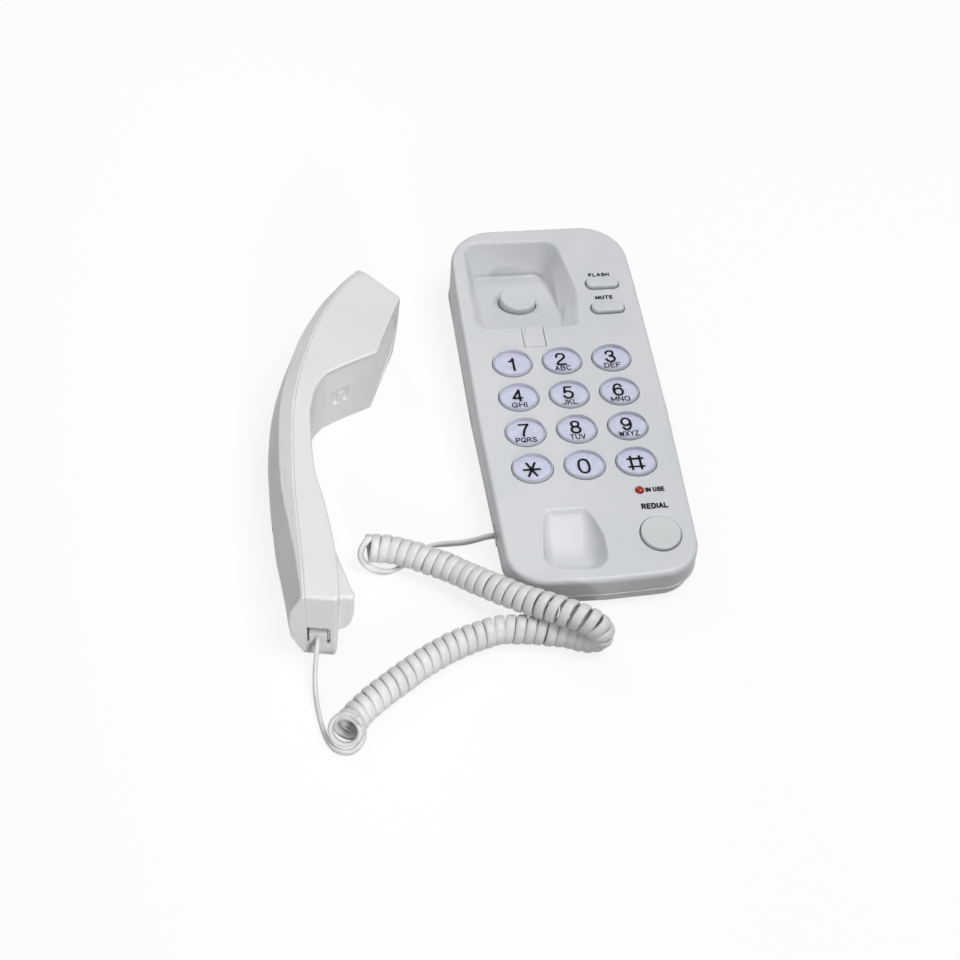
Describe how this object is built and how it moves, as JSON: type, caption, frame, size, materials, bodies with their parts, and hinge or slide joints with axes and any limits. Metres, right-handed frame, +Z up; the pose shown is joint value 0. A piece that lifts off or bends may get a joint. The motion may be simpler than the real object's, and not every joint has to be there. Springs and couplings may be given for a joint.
{
  "type": "corded telephone",
  "caption": "Corded desk telephone with sloped keypad base, ear and mouth wells, handset lying off the hook and a curly cord.",
  "frame": {"origin": "On the surface the feet stand on, under the middle of the base; the base's flat underside, which is the claimed mount, is 1 mm above it", "axes": "+Y to the back of the base, where the ear well is; +X to its right; +Z up"},
  "size_m": [0.1943, 0.2895, 0.042],
  "materials": {
    "casing_white": "Moulded white ABS, lightly polished",
    "tray_white": "Moulded off-white ABS, slightly greyer",
    "key_clear": "Clear lavender-tinted acrylic cap over a printed legend",
    "lamp_red": "Red translucent lamp",
    "steel": "Plain zinc-plated steel",
    "black_plastic": "Black moulded plastic",
    "silicone": "Translucent grey silicone rubber",
    "board_green": "Green solder-masked circuit board",
    "foot_rubber": "Dark grey rubber",
    "jack_plastic": "Off-white or clear modular connector plastic",
    "cord_white": "White flexible PVC jacket"
  },
  "bodies": {
    "base": {"base_top_shell": "casing_white", "base_bottom_shell": "tray_white", "in_use_lamp": "lamp_red", "hook_spring": "steel", "hook_switch": "black_plastic", "keypad_membrane": "silicone", "main_board": "board_green", "ringer": "black_plastic", "ballast_plate": "steel", "base_handset_jack": "jack_plastic", "line_jack": "black_plastic", "rubber_feet": "foot_rubber", "base_screws": "steel", "board_screws": "steel", "base_plug": "jack_plastic", "base_lead": "cord_white", "handset_lead": "cord_white", "curly_cord": "cord_white"},
    "handset": {"handset_front_shell": "casing_white", "handset_back_shell": "casing_white", "receiver_capsule": "black_plastic", "microphone_capsule": "black_plastic", "handset_jack": "jack_plastic", "handset_weight": "steel", "handset_screws": "steel", "handset_plug": "jack_plastic"},
    "key_1_body": {"key_1": "key_clear"},
    "key_2_body": {"key_2": "key_clear"},
    "key_3_body": {"key_3": "key_clear"},
    "key_4_body": {"key_4": "key_clear"},
    "key_5_body": {"key_5": "key_clear"},
    "key_6_body": {"key_6": "key_clear"},
    "key_7_body": {"key_7": "key_clear"},
    "key_8_body": {"key_8": "key_clear"},
    "key_9_body": {"key_9": "key_clear"},
    "key_star_body": {"key_star": "key_clear"},
    "key_0_body": {"key_0": "key_clear"},
    "key_hash_body": {"key_hash": "key_clear"},
    "flash_button_body": {"flash_button": "casing_white"},
    "mute_button_body": {"mute_button": "casing_white"},
    "redial_button_body": {"redial_button": "casing_white"},
    "plunger_body": {"hook_plunger": "casing_white"},
    "tab_body": {"hang_tab": "casing_white"},
    "ringer_switch_body": {"ringer_switch": "black_plastic"},
    "tone_pulse_switch_body": {"tone_pulse_switch": "black_plastic"}
  },
  "joints": [
    {"name": "handset_lift", "type": "slide", "parent": "base", "child": "handset", "axis": [0, 0, 1], "range_m": [0, 0.1]},
    {"name": "key_1_press", "type": "slide", "parent": "base", "child": "key_1_body", "axis": [0, 0.0698, -0.9976], "range_m": [0, 0.0012], "stiffness_N_per_m": 400, "springref_m": -0.001, "deforming": ["keypad_membrane"]},
    {"name": "key_2_press", "type": "slide", "parent": "base", "child": "key_2_body", "axis": [0, 0.0698, -0.9976], "range_m": [0, 0.0012], "stiffness_N_per_m": 400, "springref_m": -0.001, "deforming": ["keypad_membrane"]},
    {"name": "key_3_press", "type": "slide", "parent": "base", "child": "key_3_body", "axis": [0, 0.0698, -0.9976], "range_m": [0, 0.0012], "stiffness_N_per_m": 400, "springref_m": -0.001, "deforming": ["keypad_membrane"]},
    {"name": "key_4_press", "type": "slide", "parent": "base", "child": "key_4_body", "axis": [0, 0.0698, -0.9976], "range_m": [0, 0.0012], "stiffness_N_per_m": 400, "springref_m": -0.001, "deforming": ["keypad_membrane"]},
    {"name": "key_5_press", "type": "slide", "parent": "base", "child": "key_5_body", "axis": [0, 0.0698, -0.9976], "range_m": [0, 0.0012], "stiffness_N_per_m": 400, "springref_m": -0.001, "deforming": ["keypad_membrane"]},
    {"name": "key_6_press", "type": "slide", "parent": "base", "child": "key_6_body", "axis": [0, 0.0698, -0.9976], "range_m": [0, 0.0012], "stiffness_N_per_m": 400, "springref_m": -0.001, "deforming": ["keypad_membrane"]},
    {"name": "key_7_press", "type": "slide", "parent": "base", "child": "key_7_body", "axis": [0, 0.0698, -0.9976], "range_m": [0, 0.0012], "stiffness_N_per_m": 400, "springref_m": -0.001, "deforming": ["keypad_membrane"]},
    {"name": "key_8_press", "type": "slide", "parent": "base", "child": "key_8_body", "axis": [0, 0.0698, -0.9976], "range_m": [0, 0.0012], "stiffness_N_per_m": 400, "springref_m": -0.001, "deforming": ["keypad_membrane"]},
    {"name": "key_9_press", "type": "slide", "parent": "base", "child": "key_9_body", "axis": [0, 0.0698, -0.9976], "range_m": [0, 0.0012], "stiffness_N_per_m": 400, "springref_m": -0.001, "deforming": ["keypad_membrane"]},
    {"name": "key_star_press", "type": "slide", "parent": "base", "child": "key_star_body", "axis": [0, 0.0698, -0.9976], "range_m": [0, 0.0012], "stiffness_N_per_m": 400, "springref_m": -0.001, "deforming": ["keypad_membrane"]},
    {"name": "key_0_press", "type": "slide", "parent": "base", "child": "key_0_body", "axis": [0, 0.0698, -0.9976], "range_m": [0, 0.0012], "stiffness_N_per_m": 400, "springref_m": -0.001, "deforming": ["keypad_membrane"]},
    {"name": "key_hash_press", "type": "slide", "parent": "base", "child": "key_hash_body", "axis": [0, 0.0698, -0.9976], "range_m": [0, 0.0012], "stiffness_N_per_m": 400, "springref_m": -0.001, "deforming": ["keypad_membrane"]},
    {"name": "flash_button_press", "type": "slide", "parent": "base", "child": "flash_button_body", "axis": [0, 0.0698, -0.9976], "range_m": [0, 0.0012], "stiffness_N_per_m": 400, "springref_m": -0.001, "deforming": ["keypad_membrane"]},
    {"name": "mute_button_press", "type": "slide", "parent": "base", "child": "mute_button_body", "axis": [0, 0.0698, -0.9976], "range_m": [0, 0.0012], "stiffness_N_per_m": 400, "springref_m": -0.001, "deforming": ["keypad_membrane"]},
    {"name": "redial_button_press", "type": "slide", "parent": "base", "child": "redial_button_body", "axis": [0, 0.0698, -0.9976], "range_m": [0, 0.0012], "stiffness_N_per_m": 400, "springref_m": -0.001, "deforming": ["keypad_membrane"]},
    {"name": "hook_press", "type": "slide", "parent": "base", "child": "plunger_body", "axis": [0, 0.0698, -0.9976], "range_m": [0, 0.006], "stiffness_N_per_m": 60, "springref_m": -0.005, "deforming": ["hook_spring"]},
    {"name": "hang_tab_slide", "type": "slide", "parent": "base", "child": "tab_body", "axis": [0, 0.9976, 0.0698], "range_m": [0, 0.008]},
    {"name": "ringer_switch_slide", "type": "slide", "parent": "base", "child": "ringer_switch_body", "axis": [1, 0, 0], "range_m": [-0.002, 0.002]},
    {"name": "tone_pulse_switch_slide", "type": "slide", "parent": "base", "child": "tone_pulse_switch_body", "axis": [1, 0, 0], "range_m": [-0.002, 0.002]}
  ]
}
